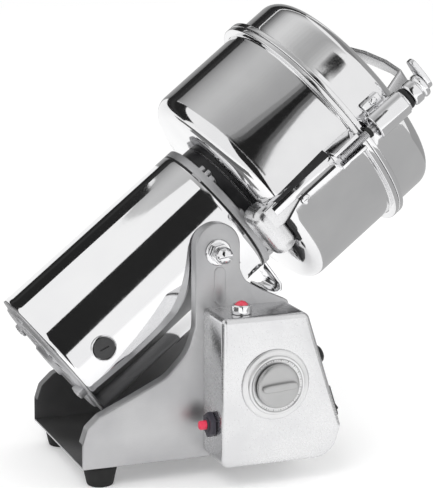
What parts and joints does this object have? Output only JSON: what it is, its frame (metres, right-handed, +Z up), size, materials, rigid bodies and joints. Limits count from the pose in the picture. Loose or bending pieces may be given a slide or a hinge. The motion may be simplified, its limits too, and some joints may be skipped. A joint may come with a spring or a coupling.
{
  "type": "hammer mill",
  "caption": "Swing-type hammer mill with a steel grinding bowl on a motor that tilts between bracket arms, with a clamped hinged lid and a side control box.",
  "frame": {"origin": "on the worktop under the middle of the object's box at rest", "axes": "+Z up, +X the way the bowl leans, -Y the side with the control box"},
  "size_m": [0.4192, 0.285, 0.4391],
  "materials": {
    "base_bracket": "brushed stainless steel sheet",
    "foot_near_left": "matt black rubber",
    "foot_far_left": "matt black rubber",
    "foot_right": "matt black rubber",
    "cord_gland": "black moulded plastic",
    "control_box": "mirror polished stainless steel",
    "lamp_bezel": "mirror polished stainless steel",
    "lamp_lens": "glossy red plastic",
    "timer_dial": "satin silver",
    "timer_body": "turned steel",
    "reset_nut": "black moulded plastic",
    "reset_breaker": "black moulded plastic",
    "fuse_holder": "black moulded plastic",
    "switch_frame": "black moulded plastic",
    "pivot_nut_near": "mirror polished stainless steel",
    "pivot_nut_far": "mirror polished stainless steel",
    "motor_housing": "mirror polished stainless steel",
    "motor_end_cover": "plain cast aluminium",
    "motor_flange": "plain cast aluminium",
    "bearing_lower": "turned steel",
    "bearing_upper": "turned steel",
    "stator_core": "dark laminated iron",
    "brush_cap_near": "black moulded plastic",
    "brush_cap_far": "black moulded plastic",
    "carbon_brush_near": "dark laminated iron",
    "carbon_brush_far": "dark laminated iron",
    "trunnion_near": "turned steel",
    "trunnion_far": "turned steel",
    "pivot_bolt_near": "mirror polished stainless steel",
    "pivot_bolt_far": "mirror polished stainless steel",
    "bowl": "mirror polished stainless steel",
    "shaft_seal": "brushed stainless steel sheet",
    "switch_guard": "mirror polished stainless steel",
    "guard_screw": "mirror polished stainless steel",
    "latch_bracket": "mirror polished stainless steel",
    "lid_hinge_lower": "mirror polished stainless steel",
    "hinge_pin": "turned steel",
    "tilt_handle": "mirror polished stainless steel",
    "rotor_shaft": "turned steel",
    "rotor_core": "dark laminated iron",
    "commutator": "bare copper bars",
    "cooling_fan": "black moulded plastic",
    "blade_lower": "turned steel",
    "blade_middle": "turned steel",
    "blade_upper": "turned steel",
    "blade_nut": "turned steel",
    "lid": "mirror polished stainless steel",
    "lid_seal": "matt black rubber",
    "lid_handle": "mirror polished stainless steel",
    "lid_hinge_upper": "mirror polished stainless steel",
    "clamp_sleeve": "mirror polished stainless steel",
    "sleeve_screw": "mirror polished stainless steel",
    "clamp_collar": "black moulded plastic",
    "clamp_rod": "turned steel",
    "clamp_knob": "mirror polished stainless steel",
    "clamp_lever": "mirror polished stainless steel",
    "rod_grommet": "matt black rubber",
    "timer_knob": "satin silver",
    "switch_rocker": "black moulded plastic",
    "reset_button": "glossy red plastic"
  },
  "bodies": {
    "base": {"base_bracket": "base_bracket", "foot_near_left": "foot_near_left", "foot_far_left": "foot_far_left", "foot_right": "foot_right", "cord_gland": "cord_gland", "control_box": "control_box", "lamp_bezel": "lamp_bezel", "lamp_lens": "lamp_lens", "timer_dial": "timer_dial", "timer_body": "timer_body", "reset_nut": "reset_nut", "reset_breaker": "reset_breaker", "fuse_holder": "fuse_holder", "switch_frame": "switch_frame", "pivot_nut_near": "pivot_nut_near", "pivot_nut_far": "pivot_nut_far"},
    "head": {"motor_housing": "motor_housing", "motor_end_cover": "motor_end_cover", "motor_flange": "motor_flange", "bearing_lower": "bearing_lower", "bearing_upper": "bearing_upper", "stator_core": "stator_core", "brush_cap_near": "brush_cap_near", "brush_cap_far": "brush_cap_far", "carbon_brush_near": "carbon_brush_near", "carbon_brush_far": "carbon_brush_far", "trunnion_near": "trunnion_near", "trunnion_far": "trunnion_far", "pivot_bolt_near": "pivot_bolt_near", "pivot_bolt_far": "pivot_bolt_far", "bowl": "bowl", "shaft_seal": "shaft_seal", "switch_guard": "switch_guard", "guard_screw": "guard_screw", "latch_bracket": "latch_bracket", "lid_hinge_lower": "lid_hinge_lower", "hinge_pin": "hinge_pin", "tilt_handle": "tilt_handle"},
    "rotor": {"rotor_shaft": "rotor_shaft", "rotor_core": "rotor_core", "commutator": "commutator", "cooling_fan": "cooling_fan", "blade_lower": "blade_lower", "blade_middle": "blade_middle", "blade_upper": "blade_upper", "blade_nut": "blade_nut"},
    "lid": {"lid": "lid", "lid_seal": "lid_seal", "lid_handle": "lid_handle", "lid_hinge_upper": "lid_hinge_upper", "clamp_sleeve": "clamp_sleeve", "sleeve_screw": "sleeve_screw"},
    "clamp_nut": {"clamp_collar": "clamp_collar"},
    "clamp_screw": {"clamp_rod": "clamp_rod", "clamp_knob": "clamp_knob", "clamp_lever": "clamp_lever", "rod_grommet": "rod_grommet"},
    "timer_knob": {"timer_knob": "timer_knob"},
    "power_rocker": {"switch_rocker": "switch_rocker"},
    "reset_button": {"reset_button": "reset_button"}
  },
  "joints": [
    {"name": "head_tilt", "type": "hinge", "parent": "base", "child": "head", "pos_m": [-0.02811, 0.00852, 0.218], "axis": [0, 1, 0], "range_deg": [-51.4, 0]},
    {"name": "rotor_spin", "type": "hinge", "parent": "head", "child": "rotor", "pos_m": [-0.02811, 0.00852, 0.218], "axis": [0.7815, 0, 0.6239], "continuous": true},
    {"name": "lid_open", "type": "hinge", "parent": "head", "child": "lid", "pos_m": [0.1033, 0.13753, 0.3229], "axis": [-0.6239, 0, 0.7815], "range_deg": [0, 110]},
    {"name": "clamp_lift", "type": "slide", "parent": "lid", "child": "clamp_nut", "axis": [0.7815, 0, 0.6239], "range_m": [0, 0.0045]},
    {"name": "clamp_turn", "type": "hinge", "parent": "clamp_nut", "child": "clamp_screw", "pos_m": [0.1257, -0.11897, 0.3459], "axis": [0.7815, 0, 0.6239], "range_deg": [0, 1080]},
    {"name": "timer_turn", "type": "hinge", "parent": "base", "child": "timer_knob", "pos_m": [0.00949, -0.12793, 0.1007], "axis": [0, 1, 0], "range_deg": [0, 300], "stiffness_Nm_per_rad": 0.01},
    {"name": "rocker_turn", "type": "hinge", "parent": "base", "child": "power_rocker", "pos_m": [0.07327, -0.10247, 0.07465], "axis": [0, 1, 0], "range_deg": [0, 20]},
    {"name": "reset_press", "type": "slide", "parent": "base", "child": "reset_button", "axis": [1, 0, 0], "range_m": [0, 0.003], "stiffness_N_per_m": 600, "springref_m": -0.001}
  ],
  "couplings": [
    {"joint": "clamp_turn", "follows": "clamp_lift", "rad_per_m": 4188.8}
  ]
}
